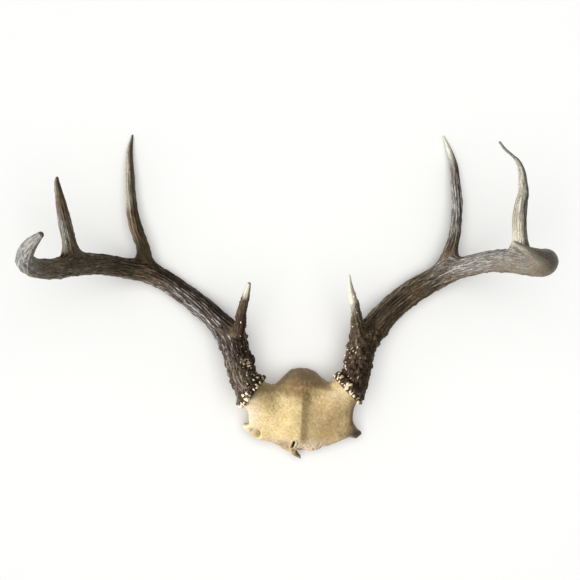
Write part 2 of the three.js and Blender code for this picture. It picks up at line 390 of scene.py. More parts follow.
def route_of(stations):
    """Even samples of the smooth curve through the stations, with an untwisted frame at each."""
    rows = np.array(stations, float)
    gaps = np.sqrt(np.linalg.norm(np.diff(rows[:, :3], axis=0), axis=1))
    knots = np.concatenate([[0], np.cumsum(gaps)])
    slopes = np.gradient(rows, knots, axis=0)
    fine = np.linspace(0, knots[-1], CURVE_SAMPLES)
    span = np.clip(np.searchsorted(knots, fine, side="right") - 1, 0, len(rows) - 2)
    width = gaps[span][:, None]
    t = (fine - knots[span])[:, None] / width
    curve = (
        (2 * t ** 3 - 3 * t ** 2 + 1) * rows[span] + (t ** 3 - 2 * t ** 2 + t) * width * slopes[span]
        + (3 * t ** 2 - 2 * t ** 3) * rows[span + 1] + (t ** 3 - t ** 2) * width * slopes[span + 1]
    )
    strides = np.linalg.norm(np.diff(curve[:, :3], axis=0), axis=1)
    travelled = np.concatenate([[0], np.cumsum(strides)])
    along = np.linspace(0, travelled[-1], int(travelled[-1] / ROUTE_STEP) + 2)
    even = np.stack([np.interp(along, travelled, curve[:, axis]) for axis in range(4)], axis=1)
    tangent = np.gradient(even[:, :3], axis=0)
    tangent /= np.linalg.norm(tangent, axis=1)[:, None]
    across = np.zeros_like(tangent)
    guide = np.array([0.0, 0.0, 1.0])
    for i, direction in enumerate(tangent):
        guide = guide - direction * (guide @ direction)
        guide /= np.linalg.norm(guide)
        across[i] = guide
    return SimpleNamespace(
        centre=even[:, :3], radius=even[:, 3] / 2, along=along, length=along[-1],
        tangent=tangent, across=across, beside=np.cross(tangent, across),
    )


def follow(route, points):
    """For each point: its distance from a route's centreline, the radius there and its place on it."""
    nearest = np.empty(len(points), int)
    centres = route.centre.astype(np.float32)
    centre_squares = (centres ** 2).sum(axis=1)
    for begin in range(0, len(points), POINT_BLOCK):
        block = points[begin:begin + POINT_BLOCK].astype(np.float32)
        nearest[begin:begin + POINT_BLOCK] = np.argmin(centre_squares - 2 * block @ centres.T, axis=1)
    offset = points - route.centre[nearest]
    slide = (offset * route.tangent[nearest]).sum(axis=1)
    slide = np.clip(slide, -ROUTE_STEP, ROUTE_STEP)
    slide[(nearest == 0) & (slide < 0)] = 0
    slide[(nearest == len(centres) - 1) & (slide > 0)] = 0
    offset -= slide[:, None] * route.tangent[nearest]
    along = route.along[nearest] + slide
    distance = np.linalg.norm(offset, axis=1)
    turn = np.stack([(offset * route.across[nearest]).sum(axis=1),
                     (offset * route.beside[nearest]).sum(axis=1)], axis=1)
    turn /= np.maximum(np.linalg.norm(turn, axis=1), 1e-6)[:, None]
    radius = np.interp(along, route.along, route.radius)
    return SimpleNamespace(distance=distance, radius=radius, along=along, turn=turn)


def grain_of(place, radius):
    """Coordinates that run along the growth of a branch, on a rod of even radius."""
    return np.column_stack([place.turn * radius, place.along])


def burr_axis(antler):
    """The burr's axis as a unit vector."""
    axis = np.array(antler["burr"]["axis"], float)
    return axis / np.linalg.norm(axis)


def burr_place(points, antler):
    """Each point's height along the burr's axis and distance from it, from the burr's middle."""
    axis = burr_axis(antler)
    offset = points - np.array(antler["burr"]["centre"], float)
    height = offset @ axis
    return height, np.linalg.norm(offset - height[:, None] * axis, axis=1)


def antler_field(points, antler, routes, fork_blend):
    """The smooth antler: beam, tines with filleted forks, and the burr's rounded disc."""
    beam = follow(routes[0], points)
    field = beam.distance - beam.radius
    for route in routes[1:]:
        tine = follow(route, points)
        field = smooth_min(field, tine.distance - tine.radius, fork_blend)
    height, spread = burr_place(points, antler)
    outwards = spread - (BURR_RADIUS - BURR_ROUNDING)
    upwards = np.abs(height) - (BURR_HALF_THICKNESS - BURR_ROUNDING)
    beyond = np.stack([outwards, upwards], axis=1)
    disc = np.linalg.norm(np.maximum(beyond, 0), axis=1) + np.minimum(beyond.max(axis=1), 0)
    field = smooth_min(field, disc - BURR_ROUNDING, BURR_FILLET)
    return smooth_max(field, -height - BURR_HALF_THICKNESS, 0.6)


def forehead_height(points, ridge_height):
    """The height of the frontal bone and the crown, with an off-centre ridge and hollowed flanks."""
    x, y = points[:, 0], points[:, 1]
    rows = np.array(FOREHEAD_PROFILE, float)
    profiles = [np.interp(y + shift, rows[:, 0], rows[:, 1]) for shift in FOREHEAD_SMOOTHING]
    height = sum(profiles) / len(profiles)
    height -= FOREHEAD_ROUNDNESS * x ** 2 + FLANK_DROP * step_between(np.abs(x), *FLANKS)
    height -= CROWN_ROUNDNESS * x ** 2 * step_between(y, *CROWN_START)
    fold = CROWN_FOLD["depth"] * lines(y, CROWN_FOLD["y"], CROWN_FOLD["width"])
    height -= fold * (1 - step_between(np.abs(x), *CROWN_FOLD["ends"]))
    crest = step_between(y, *RIDGE_FOOT) * (1 - step_between(y, *RIDGE_HEAD))
    beside = x - RIDGE_X - RIDGE_LEAN * y
    left, right = RIDGE_SLOPES
    rise = np.where(beside <= 0, step_between(beside, left, 0), 1 - step_between(beside, 0, right))
    height += ridge_height * crest * rise
    height -= SIDE_HOLLOW["depth"] * crest * lines(x, SIDE_HOLLOW["x"], SIDE_HOLLOW["width"])
    return height


def reach_of_slit(points):
    """The distance from each point to the middle line of the slit, seen from above."""
    start, end = np.array(SLIT["start"]), np.array(SLIT["end"])
    return reach_of_side(points[:, :2], start, end)


def plate_field(points, ridge_height):
    """The smooth skull plate: forehead, crown, pedicles and splinter, less its hollows."""
    z = points[:, 2]
    roof = (z - forehead_height(points, ridge_height)) * 0.85
    field = smooth_max(roof, outline_field(points, PLATE_OUTLINE), RIM_ROUNDING)
    for hollow in FACE_HOLLOWS:
        field = smooth_max(field, -ball_field(points, hollow), HOLLOW_ROUNDING)
    for antler in (LEFT_ANTLER, RIGHT_ANTLER):
        stem = follow(route_of(antler["pedicle"]), points)
        field = smooth_min(field, stem.distance - stem.radius, PEDICLE_FILLET)
    field = smooth_max(field, -ball_field(points, BRAIN_HOLLOW), BRAIN_ROUNDING)
    for antler in (LEFT_ANTLER, RIGHT_ANTLER):
        height, _ = burr_place(points, antler)
        field = np.maximum(field, height + BURR_HALF_THICKNESS - 0.4)
    opening = np.minimum(SLIT["radius"] - reach_of_slit(points), z - SLIT["floor"])
    field = smooth_max(field, opening, SLIT_ROUNDING)
    chip = follow(route_of(SPLINTER), points)
    field = smooth_min(field, chip.distance - chip.radius, SPLINTER_FILLET)
    return np.maximum(field, -z)


# ---------- meshes ----------

def tube_shell(route, first=0):
    """The corners and faces of a closed tube along a route, from its first wanted sample."""
    picked = list(range(first, len(route.along) - 1, TUBE_EVERY)) + [len(route.along) - 1]
    turns = np.linspace(0, 2 * np.pi, TUBE_SIDES, endpoint=False)
    rings = []
    for i in picked:
        outward = np.outer(np.cos(turns), route.across[i]) + np.outer(np.sin(turns), route.beside[i])
        rings.append(route.centre[i] + route.radius[i] * outward)
    faces = []
    for ring, side in itertools.product(range(len(picked) - 1), range(TUBE_SIDES)):
        here, there = ring * TUBE_SIDES, (ring + 1) * TUBE_SIDES
        after = (side + 1) % TUBE_SIDES
        faces.append((here + side, here + after, there + after, there + side))
    last = (len(picked) - 1) * TUBE_SIDES
    faces.append(tuple(reversed(range(TUBE_SIDES))))
    faces.append(tuple(range(last, last + TUBE_SIDES)))
    return np.concatenate(rings), faces


def voxel_mesh(name, shells, step):
    """One even closed mesh around several closed shells, each given as corners and faces."""
    corners, faces = [], []
    for shell_corners, shell_faces in shells:
        first = sum(len(block) for block in corners)
        corners.append(shell_corners)
        faces += [tuple(first + index for index in face) for face in shell_faces]
    rough = bpy.data.meshes.new(name + "_rough")
    rough.from_pydata((np.concatenate(corners) * MM).tolist(), [], faces)
    return remeshed(name, rough, step)


def remeshed(name, rough, step):
    """Replaces a rough closed mesh by an even one with a vertex about every step of metres."""
    holder = bpy.data.objects.new(name + "_rough", rough)
    bpy.context.scene.collection.objects.link(holder)
    remesh = holder.modifiers.new("even", "REMESH")
    remesh.mode = "VOXEL"
    remesh.voxel_size = step
    remesh.use_smooth_shade = True
    settled = holder.evaluated_get(bpy.context.evaluated_depsgraph_get())
    mesh = bpy.data.meshes.new_from_object(settled)
    mesh.name = name
    bpy.data.objects.remove(holder)
    bpy.data.meshes.remove(rough)
    return mesh


def net_mesh(name, field, low, high, step):
    """A closed mesh where a field is zero, with a vertex in each cell that the surface crosses."""
    axes = [np.arange(start, end, step) for start, end in zip(low, high)]
    grid = np.stack(np.meshgrid(*axes, indexing="ij"), axis=-1)
    value = np.concatenate([field(layer.reshape(-1, 3)) for layer in grid]).reshape(grid.shape[:3])
    inside = value < 0
    cells = [size - 1 for size in value.shape]
    corners = np.array(list(itertools.product((0, 1), repeat=3)))
    full = sum(
        inside[x:cells[0] + x, y:cells[1] + y, z:cells[2] + z].astype(int) for x, y, z in corners
    )
    active = np.argwhere((full > 0) & (full < 8))
    number = np.full(cells, -1)
    number[tuple(active.T)] = np.arange(len(active))
    at_corner = value[tuple(np.moveaxis(active[:, None] + corners, 2, 0))]
    total, hits = np.zeros((len(active), 3)), np.zeros(len(active))
    for a, b in itertools.combinations(range(8), 2):
        if np.abs(corners[a] - corners[b]).sum() == 1:
            crosses = (at_corner[:, a] < 0) != (at_corner[:, b] < 0)
            share = at_corner[:, a] / np.where(crosses, at_corner[:, a] - at_corner[:, b], 1)
            total += crosses[:, None] * (corners[a] + share[:, None] * (corners[b] - corners[a]))
            hits += crosses
    points = np.array(low) + step * (active + total / hits[:, None])
    faces = []
    for axis in range(3):
        before = np.take(inside, range(cells[axis]), axis)
        after = np.take(inside, range(1, cells[axis] + 1), axis)
        one, two = np.roll(np.eye(3, dtype=int), 1, axis=1)[[axis, (axis + 1) % 3]]
        leaving, entering = np.argwhere(before & ~after), np.argwhere(~before & after)
        for edges, order in ((leaving, 1), (entering, -1)):
            ring = [edges, edges - one, edges - one - two, edges - two][::order]
            faces.append(np.stack([number[tuple(cell.T)] for cell in ring], axis=1))
    mesh = bpy.data.meshes.new(name)
    mesh.from_pydata((points * MM).tolist(), [], np.concatenate(faces).tolist())
    return mesh


def points_of(mesh):
    """The vertices of a mesh in millimetres."""
    flat = np.empty(len(mesh.vertices) * 3)
    mesh.vertices.foreach_get("co", flat)
    return flat.reshape(-1, 3) / MM


def move_points(mesh, points):
    """Moves the vertices of a mesh, and returns their new normals."""
    mesh.vertices.foreach_set("co", (points * MM).ravel())
    mesh.update()
    normals = np.empty(len(points) * 3)
    mesh.vertex_normals.foreach_get("vector", normals)
    return normals.reshape(-1, 3)


def edges_of(mesh):
    """The two ends of each edge."""
    flat = np.empty(len(mesh.edges) * 2, int)
    mesh.edges.foreach_get("vertices", flat)
    return flat.reshape(-1, 2)


def neighbour_mean(values, edges):
    """The mean of the values at each vertex's neighbours."""
    count = np.bincount(edges.ravel(), minlength=len(values))
    columns = values.reshape(len(values), -1).T
    sums = [
        np.bincount(edges[:, 0], column[edges[:, 1]], len(values))
        + np.bincount(edges[:, 1], column[edges[:, 0]], len(values))
        for column in columns
    ]
    return (np.stack(sums, axis=1) / np.maximum(count, 1)[:, None]).reshape(values.shape)


def settle(mesh, field, rounds):
    """Moves a mesh onto the surface where a field is zero, keeping its vertices even."""
    points = points_of(mesh)
    edges = edges_of(mesh)
    for _ in range(rounds):
        points += 0.5 * (neighbour_mean(points, edges) - points)
        normals = move_points(mesh, points)
        points -= normals * np.clip(field(points), -3, 3)[:, None]
    return points, move_points(mesh, points)


def set_attributes(mesh, **layers):
    """Stores numbers or vectors at each vertex, by their names."""
    for name, values in layers.items():
        kind, field = ("FLOAT", "value") if values.ndim == 1 else ("FLOAT_VECTOR", "vector")
        layer = mesh.attributes.new(name, kind, "POINT")
        layer.data.foreach_set(field, values.astype(np.float32).ravel())


def add_piece(name, mesh, material, nodes):
    """Puts a finished mesh in the scene, in place of the solids that it stands for."""
    piece = bpy.data.objects.new(name, mesh)
    bpy.context.scene.collection.objects.link(piece)
    light_group("rack").objects.link(piece)
    mesh.materials.append(material)
    mesh.shade_smooth()
    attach(piece, BODY)
    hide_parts(*nodes)
    return piece


# ---------- the antlers ----------

# Kinds of bump near the burr and on the brow tine: how many, where along the branch, how far they
# lean to the inner side, their half length, half width and height in millimetres, and the shares
# with a worn top or rim.
ROOT_BUMPS = [
    {"count": 130, "along": (4, 68), "inner": 0.0, "length": (1.8, 4.4), "width": (1.3, 2.6),
     "height": (0.9, 2.1), "worn_tops": 0.0, "worn_rims": 0.0},
    {"count": 200, "along": (4, 62), "inner": 1.15, "length": (0.6, 1.4), "width": (0.45, 0.75),
     "height": (0.5, 1.1), "worn_tops": 0.62, "worn_rims": 0.0},
    {"count": 16, "along": (8, 56), "inner": 1.5, "length": (2.4, 4.0), "width": (1.8, 2.6),
     "height": (0.9, 1.6), "worn_tops": 0.0, "worn_rims": 0.3},
]
BROW_BUMPS = [
    {"count": 70, "along": (12, 62), "inner": -0.5, "length": (1.0, 2.8), "width": (0.5, 0.9),
     "height": (0.5, 1.2), "worn_tops": 0.22, "worn_rims": 0.0},
]
ROOT_CROWDING = 1.4  # more crowds the bumps towards the root
# Rows of knobs around the burr: how many, their height along its axis, their sizes, and how worn.
BURR_ROWS = [
    {"count": 36, "height": -1.6, "length": (1.2, 2.8), "width": (0.8, 1.4), "rise": (1.1, 2.1),
     "worn_tops": 0.95},
    {"count": 26, "height": 2.6, "length": (1.6, 2.8), "width": (1.0, 1.8), "rise": (0.6, 1.5),
     "worn_tops": 0.3},
]
RIGHT_SEED_SHIFT = 1000  # gives the right antler a pattern of its own
KNOB_UNEVENNESS = 0.8  # how far a knob may stray around the burr, as a share of its space
KNOB_SPREAD = 1.6  # how far it may stray along the burr's axis
KNOB_SINK = 0.5  # how deep its middle lies in the rim
ROOT_END = (30, 85)  # where along the beam its rough root turns into grooves
TINE_ROOT_END = (12, 32)  # the same on a tine
DUSKY_END = (130, 180)  # where along the beam the root's brown ends
CRUST_HEIGHT = 3.2  # of the rough root, in groove depths
SWELL_HEIGHT = 0.9  # of the slow swells along a branch


def growth_relief(grain, ridges, furrow, seed):
    """Growth ridges along a branch: a height from about -1 to 1, and how deep in a groove it is.

    The grain is multiplied by features in each millimetre, two across the branch and one along it.
    """
    turn = np.arctan2(grain[:, 1], grain[:, 0])
    drift = 14 * fractal(grain * (0.05, 0.05, 0.014), seed, 2)
    drift += 7 * fractal(grain * (0.2, 0.2, 0.035), seed + 5, 2)
    bars = 0.5 + 0.5 * np.cos(ridges * turn + drift)
    present = step_between(fractal(grain * (0.16, 0.16, 0.05), seed + 10, 2), 0.38, 0.64) * furrow
    medium = fractal(grain * (0.45, 0.45, 0.05), seed + 20, 2)
    fine = fractal(grain * (0.85, 0.85, 0.14), seed + 30, 2)
    groove = np.maximum(present * (1 - bars) ** 3, (0.05 + 0.85 * furrow) * lines(medium, 0.5, 0.03))
    height = present * (bars - 0.5) + (0.4 + 0.7 * furrow) * (medium - 0.5)
    height += (0.6 + furrow) * (fine - 0.5)
    return height - 0.5 * groove, groove


def finish_along(along, rows):
    """How ivory, bleached and furrowed a branch is at each distance from its root."""
    table = np.array(rows, float)
    return [np.interp(along, table[:, 0], table[:, column]) for column in (1, 2, 3)]


def between(chance, ends):
    """A random number between two ends."""
    return ends[0] + (ends[1] - ends[0]) * chance.random()


def branch_bumps(route, kinds, inner_side, chance):
    """Lumps, pearls and blisters over the lower part of a branch, densest near its root."""
    bumps = []
    for kind in kinds:
        wanted = kind["count"]
        while wanted:
            start, end = kind["along"]
            along = start + (end - start) * chance.random() ** ROOT_CROWDING
            turn = 2 * np.pi * chance.random()
            at = int(along / ROUTE_STEP)
            outward = np.cos(turn) * route.across[at] + np.sin(turn) * route.beside[at]
            if chance.random() < kind["inner"] * (0.6 - 0.9 * inner_side * outward[0]):
                continue
            wanted -= 1
            lean = 0.35 * (chance.random(3) - 0.5)
            bumps.append(SimpleNamespace(
                centre=route.centre[at] + route.radius[at] * outward,
                direction=route.tangent[at] + lean,
                length=between(chance, kind["length"]),
                width=between(chance, kind["width"]),
                height=between(chance, kind["height"]),
                worn_top=chance.random() < kind["worn_tops"],
                worn_rim=chance.random() < kind["worn_rims"],
            ))
    return bumps


def burr_bumps(antler, chance):
    """Rows of knobs around the burr."""
    axis = burr_axis(antler)
    middle = np.array(antler["burr"]["centre"], float)
    up = np.array([0.0, 0.0, 1.0])
    beside = np.cross(axis, up)
    bumps = []
    for row in BURR_ROWS:
        for number in range(row["count"]):
            turn = 2 * np.pi * (number + KNOB_UNEVENNESS * chance.random()) / row["count"]
            outward = np.cos(turn) * up + np.sin(turn) * beside
            height = row["height"] + KNOB_SPREAD * (chance.random() - 0.5)
            exposed = step_between(abs(outward[2]), 0, 0.35)
            bumps.append(SimpleNamespace(
                centre=middle + axis * height + outward * (BURR_RADIUS - KNOB_SINK),
                direction=axis + 0.5 * (chance.random(3) - 0.5),
                length=between(chance, row["length"]),
                width=between(chance, row["width"]),
                height=between(chance, row["rise"]),
                worn_top=chance.random() < row["worn_tops"] * exposed,
                worn_rim=False,
            ))
    return bumps


def raise_bumps(points, bumps, seed):
    """How high the bumps lift each point, and how far it is worn down to cream."""
    shift = np.stack([noise(points * 0.7, seed + axis) for axis in range(3)], axis=1)
    ragged = points + 1.6 * (shift - 0.5)
    broken = noise(points * 0.45, seed + 3)
    lift, cream = np.zeros(len(points)), np.zeros(len(points))
    for bump in bumps:
        offset = ragged - bump.centre
        near = np.flatnonzero((offset ** 2).sum(axis=1) < bump.length ** 2)
        offset = offset[near]
        along = offset @ (bump.direction / np.linalg.norm(bump.direction))
        across = np.sqrt(np.maximum((offset ** 2).sum(axis=1) - along ** 2, 0))
        reach = np.hypot(along / bump.length, across / bump.width)
        rise = np.sqrt(np.clip(1 - reach ** 2, 0, 1))
        lift[near] = np.maximum(lift[near], bump.height * rise)
        if bump.worn_top:
            cream[near] = np.maximum(cream[near], step_between(rise, 0.3, 0.7))
        if bump.worn_rim:
            rim = lines(reach, 0.8, 0.22) * step_between(broken[near], 0.3, 0.5)
            cream[near] = np.maximum(cream[near], rim)
    return lift, cream


def nearest_tine(points, antler, routes, beam_reach):
    """What each point needs from its nearest tine, and how much it belongs to that tine."""
    names = ("share", "ivory", "bleach", "furrow", "along")
    tine = SimpleNamespace(**{name: np.zeros(len(points)) for name in names})
    tine.radius = np.ones(len(points))
    tine.grain = np.zeros((len(points), 3))
    for number, route in enumerate(routes[1:]):
        place = follow(route, points)
        place.share = step_between(beam_reach - (place.distance - place.radius), -1, 6)
        finish = finish_along(place.along, antler["tines"][number]["finish"])
        place.ivory, place.bleach, place.furrow = finish
        place.grain = grain_of(place, TINE_GRAIN_RADIUS) + (0, 0, TINE_GRAIN_SHIFT * (number + 1))
        nearer = place.share > tine.share
        for name, values in vars(tine).items():
            values[nearer] = getattr(place, name)[nearer]
    return tine


def carve_antler(mesh, antler, routes, sizes, seed):
    """Carves an antler's surface, and stores what its material needs to know."""
    def field(where):
        """The smooth antler that the mesh settles on."""
        return antler_field(where, antler, routes, sizes.fork_blend / MM)

    points, normals = settle(mesh, field, ANTLER_SETTLING)
    beam = follow(routes[0], points)
    tine = nearest_tine(points, antler, routes, beam.distance - beam.radius)

    def blend(on_beam, on_tine):
        """The beam's values, which turn into the nearest tine's on that tine."""
        return on_beam + (on_tine - on_beam) * tine.share

    beam_grain = grain_of(beam, BEAM_GRAIN_RADIUS)
    beam.ivory, beam.bleach, beam.furrow = finish_along(beam.along, antler["beam"]["finish"])
    ivory, bleach = blend(beam.ivory, tine.ivory), blend(beam.bleach, tine.bleach)
    furrow = blend(beam.furrow, tine.furrow)
    radius = blend(beam.radius, tine.radius)
    beam_relief, beam_groove = growth_relief(beam_grain, BEAM_RIDGES, beam.furrow, seed)
    tine_relief, tine_groove = growth_relief(tine.grain, TINE_RIDGES, tine.furrow, seed + 100)
    relief, groove = blend(beam_relief, tine_relief), blend(beam_groove, tine_groove)

    beyond_root = tine.share * step_between(tine.along, *TINE_ROOT_END)
    root = (1 - step_between(beam.along, *ROOT_END)) * (1 - beyond_root)
    slender = np.clip(radius / 7, 0.15, 1)
    calm = (1 - 0.9 * step_between(ivory, 0.2, 0.8)) * slender
    calm *= 0.3 + 0.7 * step_between(furrow, 0, 0.25)
    flakes = pebbles(blend(beam_grain.T, tine.grain.T).T * (0.3, 0.3, 0.12), seed + 200, 0.5)
    # Painted light as well as sun bleaching: bleach and ivory are thinned on faces turned away from
    # the lit side, painting highlight on that side and shade on the other.
    lit_and_weathered = 0.2 + 0.8 * step_between(normals @ np.array(antler["lit_and_weathered_side"]), 0, 0.85)
    bleach *= lit_and_weathered ** (1 - bleach)
    ivory *= lit_and_weathered ** (2.2 * (1 - ivory))
    dusky = antler["dusky"] * (1 - step_between(beam.along, *DUSKY_END))
    crust = fractal(points * 0.3, seed + 500, 3) - 0.5
    worms = lines(fractal(points * 0.35, seed + 510, 2), 0.5, 0.05)
    relief = relief * (1 - 0.5 * root) + CRUST_HEIGHT * root * crust
    groove = np.maximum(groove * (1 - 0.4 * root), root * step_between(-crust, 0.05, 0.17))
    lift = sizes.groove_depth / MM * (relief + 0.5 * root * worms) * calm
    lift += sizes.flake_height / MM * (flakes - 0.3) * calm
    lift += SWELL_HEIGHT * (fractal(points * 0.09, seed + 300, 3) - 0.5) * slender

    chance = np.random.default_rng(seed)
    height, _ = burr_place(points, antler)
    inner_side = -np.sign(antler["burr"]["centre"][0])
    bumps = branch_bumps(routes[0], ROOT_BUMPS, inner_side, chance) + burr_bumps(antler, chance)
    bumps += branch_bumps(routes[1], BROW_BUMPS, inner_side, chance)
    bump_lift, cream = raise_bumps(points, bumps, seed + 400)
    lift += sizes.bump_height * bump_lift
    lift *= step_between(height, -BURR_HALF_THICKNESS - 0.2, -BURR_HALF_THICKNESS + 0.8)

    points = points + normals * lift[:, None]
    points[:, 2] = np.maximum(points[:, 2], FLOOR_CLEARANCE)
    move_points(mesh, points)
    # The stored bleach and ivory hold painted highlight on the lit side, as well as real bleaching and
    # polish.
    set_attributes(
        mesh, beam_grain=beam_grain, tine_grain=tine.grain, tine_share=tine.share, groove=groove,
        relief=np.clip(0.5 + 0.6 * relief, 0, 1), cream=cream, ivory=ivory, bleach=bleach,
        furrow=furrow, dusky=np.maximum(root, dusky),
    )


def make_antler(side, antler, sizes, material, seed):
    """Builds one antler as one mesh, in place of its beam and its three tines."""
    routes = [route_of(antler["beam"]["stations"])]
    routes += [route_of(tine["stations"]) for tine in antler["tines"]]
    axis = burr_axis(antler)
    middle = np.array(antler["burr"]["centre"], float)
    ends = [middle + axis * reach for reach in (-BURR_HALF_THICKNESS, BURR_HALF_THICKNESS)]
    disc = route_of([(*end, 2 * BURR_RADIUS) for end in ends])
    shells = [tube_shell(routes[0], first=BEAM_SHELL_START)]
    shells += [tube_shell(route) for route in routes[1:] + [disc]]
    mesh = voxel_mesh(f"{side}_antler", shells, sizes.mesh_step)
    carve_antler(mesh, antler, routes, sizes, seed)
    nodes = [f"{side}_main_beam"] + [tine["node"] for tine in antler["tines"]]
    return add_piece(f"{side}_antler", mesh, material, nodes)


# ---------- the skull plate ----------

# A patch is (x, y, radius along x, radius along y, strength), on the plate seen from above.
# Most of these patches are real brown stains on the crown and near the nasal edge, but the four from x
# = 26 rightwards are painted shade on the plate's right half, its right margin and the right eye
# socket's rim.
STAIN_AND_SHADE_PATCHES = [
    (0, 57, 40, 21, 1.0), (0, 41, 28, 11, 1.0), (50, 8, 10, 20, 1.0), (52, -6, 9, 7, 0.6),
    (40, -7, 8, 6, 0.8), (26, 8, 22, 32, 0.72), (-46, -7, 5, 5, 0.6), (-24, -19, 20, 7, 0.7),
    (0, 33, 24, 7, 0.55),
]
# Of the dark patches, the first, second, fifth and sixth are painted shade: on the right eye socket's
# rim, the right margin, under the nasal lip and inside the slit. The others darken the splinter's end,
# a spot by the left knob and the left of the nasal edge.
DARK_PATCHES = [
    (54.5, -8.5, 9.5, 6.2, 1.0), (52, 8, 4, 16, 0.6), (-5, -28.5, 6, 6, 0.85), (-49, -2.6, 3, 2, 0.5),
    (-0.6, -23.4, 4.5, 1.8, 0.95), (-8, -17, 1.3, 2.8, 1.0), (-26, -18, 17, 5, 0.14),
]
PALE_PATCHES = [
    (-48, 14, 8, 20, 0.9), (-54, -1, 6, 5, 0.9), (34, 34, 7, 7, 0.6), (12, -19, 26, 6, 0.9),
    (-24, -17, 20, 6, 1.0), (-5.6, -17.5, 1.6, 5, 1.0),
]


def patches(points, rows):
    """Soft patches on the plate, from 0 to 1."""
    shift = np.stack([fractal(points * 0.12, 800 + axis, 3) for axis in range(3)], axis=1)
    ragged = points + 5 * (shift - 0.5)
    total = np.zeros(len(points))
    for x, y, wide, deep, strength in rows:
        spot = np.exp(-(((ragged[:, 0] - x) / wide) ** 2) - ((ragged[:, 1] - y) / deep) ** 2)
        total = np.maximum(total, strength * spot)
    return total


def carve_plate(mesh, field, seed):
    """Carves the skull plate's surface, and stores what its material needs to know."""
    points, normals = settle(mesh, field, PLATE_SETTLING)
    x, y, z = points.T
    top = step_between(normals[:, 2], 0.05, 0.5)
    sawn = z < SAWN_DEPTH
    lift = SWELLS * (fractal(points * 0.1, seed, 3) - 0.5)
    lift += LUMPS * (fractal(points * 0.5, seed + 10, 3) - 0.5)
    broken_edge = 1 - step_between(y, *BROKEN_EDGE)
    lift += broken_edge * BROKEN_EDGE_LUMPS * (fractal(points * 0.4, seed + 20, 3) - 0.5)
    pit = pebbles(points * 0.55, seed + 40, 0.3, 0.12, 0.36)
    lift -= PIT_DEPTH * pit * top
    knob = np.hypot(x - ORBIT_KNOB[0], y - ORBIT_KNOB[1])
    lift += (KNOB_HEIGHT * np.exp(-((knob / 3) ** 2)) - KNOB_RING_DEPTH * lines(knob, 5, 0.9)) * top
    lift += SLIT_LIP * lines(reach_of_slit(points), 2.4, 0.7) * top
    crumbs = pebbles(points * 0.6, seed + 50, 0.6)
    spongy = sawn | ((z < SPONGE_HEIGHT) & (top < 0.5))
    points = points + normals * np.where(sawn, 0, lift)[:, None]
    points[:, 2] = np.maximum(points[:, 2], 0)
    move_points(mesh, points)
    # Painted shade on the short right slope of the forehead's ridge, fading to the right; it is stored
    # with the stains.
    beside = x - RIDGE_X - RIDGE_LEAN * y
    shaded = step_between(beside, 0, 2.5) * np.exp(-np.maximum(beside - 2.5, 0) / 9)
    shaded *= step_between(y, -22, -8) * (1 - step_between(y, 34, 42))
    set_attributes(
        mesh, stain=np.maximum(patches(points, STAIN_AND_SHADE_PATCHES), 0.75 * shaded),
        dark=patches(points, DARK_PATCHES), pale=patches(points, PALE_PATCHES),
        pit=pit * top, sawn=sawn.astype(float), spongy=spongy * crumbs,
    )


def make_plate(sizes, material, seed):
    """Builds the skull plate as one mesh, in place of its solid."""
    def field(where):
        """The smooth plate that the mesh is made on."""
        return plate_field(where, sizes.ridge_height / MM)

    mesh = net_mesh("skull_plate_bone", field, PLATE_LOW, PLATE_HIGH, sizes.mesh_step / MM)
    carve_plate(mesh, field, seed)
    return add_piece("skull_plate_bone", mesh, material, ["skull_plate"])


# ---------- materials ----------

FLOOR_SHADE = 0.97  # how light the floor's deeper patches are


def add_node(tree, kind, inputs=None, **settings):
    """Adds a shader node, sets its properties, and sets or links its inputs."""
    made = tree.nodes.new(kind)
    for name, value in settings.items():
        setattr(made, name, value)
    for name, value in (inputs or {}).items():
        if isinstance(value, bpy.types.NodeSocket):
            tree.links.new(value, made.inputs[name])
        else:
            made.inputs[name].default_value = value
    return made


def stored(tree, name, output="Fac"):
    """A vertex attribute's value."""
    return add_node(tree, "ShaderNodeAttribute", attribute_name=name).outputs[output]


def maths(tree, operation, first, second=0.0, third=0.0, clamp=False):
    """A maths node's result."""
    inputs = {0: first, 1: second, 2: third}
    return add_node(tree, "ShaderNodeMath", inputs, operation=operation, use_clamp=clamp).outputs[0]


def ranged(tree, value, low, high, out_low=0.0, out_high=1.0):
    """A value moved smoothly from one range to another."""
    inputs = {"Value": value, "From Min": low, "From Max": high, "To Min": out_low, "To Max": out_high}
    node = add_node(tree, "ShaderNodeMapRange", inputs, interpolation_type="SMOOTHSTEP")
    return node.outputs["Result"]


def mixed(tree, share, first, second):
    """Two colours mixed, each a socket or a plain colour."""
    colours = [
        value if isinstance(value, bpy.types.NodeSocket) else (*value[:3], 1)
        for value in (first, second)
    ]
    # A Mix node keeps its colour sockets at 6 and 7, and its mixed colour at 2.
    node = add_node(tree, "ShaderNodeMix", {0: share, 6: colours[0], 7: colours[1]}, data_type="RGBA")
    return node.outputs[2]


def new_group(name, inputs, outputs):
    """An empty shader node group, with its input and output nodes."""
    tree = bpy.data.node_groups.new(name, "ShaderNodeTree")
    for label, kind, default in inputs:
        socket = tree.interface.new_socket(label, in_out="INPUT", socket_type=kind)
        if default is not None:
            socket.default_value = default
    for label, kind in outputs:
        tree.interface.new_socket(label, in_out="OUTPUT", socket_type=kind)
    return tree, tree.nodes.new("NodeGroupInput").outputs, tree.nodes.new("NodeGroupOutput").inputs


def use_group(tree, group, **inputs):
    """Places a shader node group, with its inputs given by name."""
    node = add_node(tree, "ShaderNodeGroup", node_tree=group)
    for name, value in inputs.items():
        socket = node.inputs[name.replace("_", " ").title()]
        if isinstance(value, bpy.types.NodeSocket):
            tree.links.new(value, socket)
        else:
            socket.default_value = value
    return node.outputs


